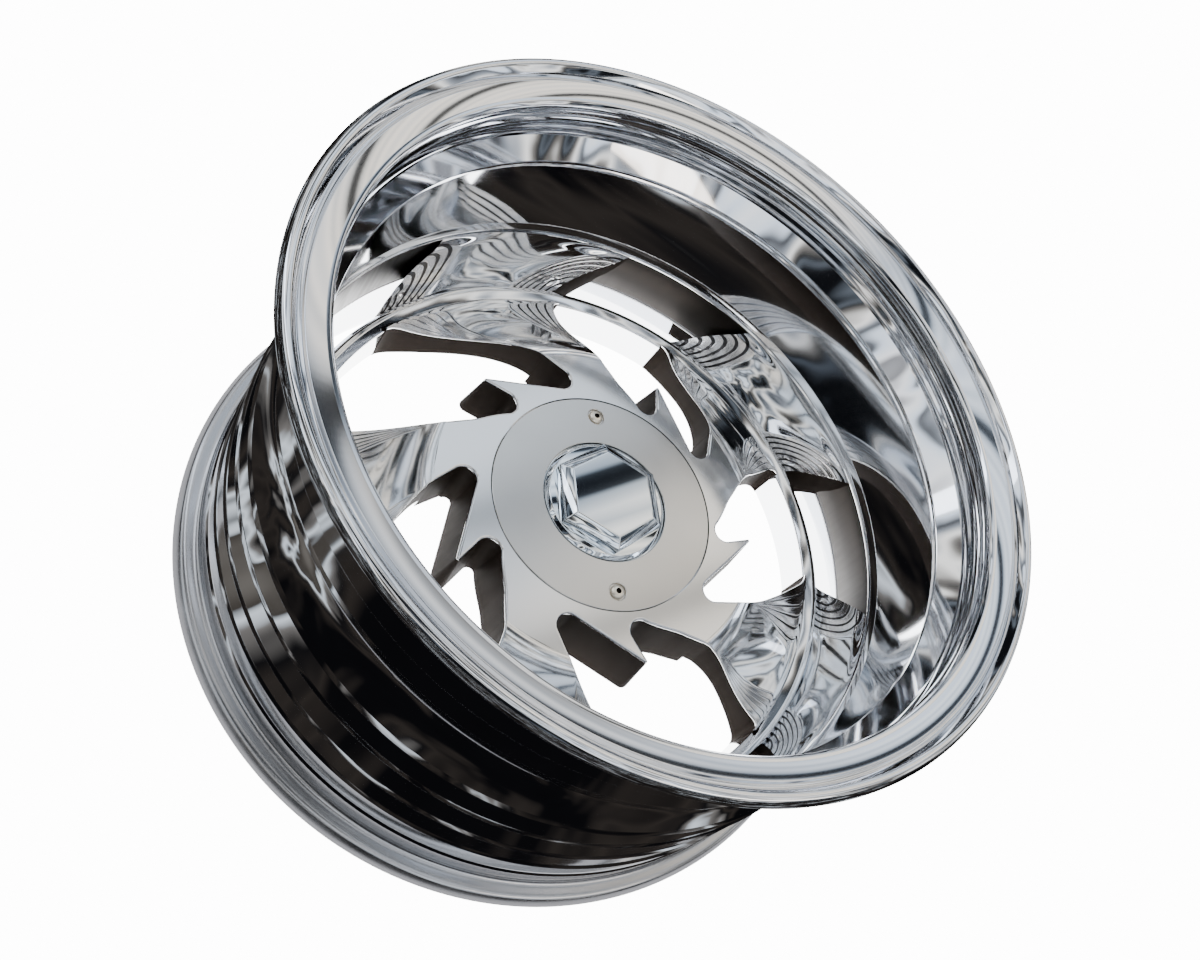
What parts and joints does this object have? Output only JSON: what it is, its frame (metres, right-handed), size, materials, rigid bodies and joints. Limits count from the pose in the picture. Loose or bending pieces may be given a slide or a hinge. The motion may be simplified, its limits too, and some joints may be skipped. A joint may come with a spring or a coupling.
{
  "type": "truck wheel",
  "caption": "Polished deep dish truck wheel: turned barrel with rolled lip, milled swirl spokes with terraces, satin cover plate and faceted cap.",
  "frame": {"origin": "on the wheel's axis, on the floor that the rear flange lies on", "axes": "+Z along the axis, out of the face; +X and +Y across the wheel, with the window pockets 72 degrees apart"},
  "size_m": [0.6638, 0.6638, 0.348],
  "materials": {
    "polished_rim": "mirror polished aluminium",
    "polished_centre": "mirror polished aluminium with milled steps",
    "weld": "as welded aluminium",
    "satin_plate": "satin polished aluminium",
    "chrome_cap": "chrome plated",
    "screws": "warm bright stainless steel"
  },
  "bodies": {
    "root": {"rim": "polished_rim", "wheel_centre": "polished_centre", "weld_bead": "weld", "cover_plate": "satin_plate", "centre_cap": "chrome_cap", "cover_screws": "screws"}
  },
  "joints": []
}
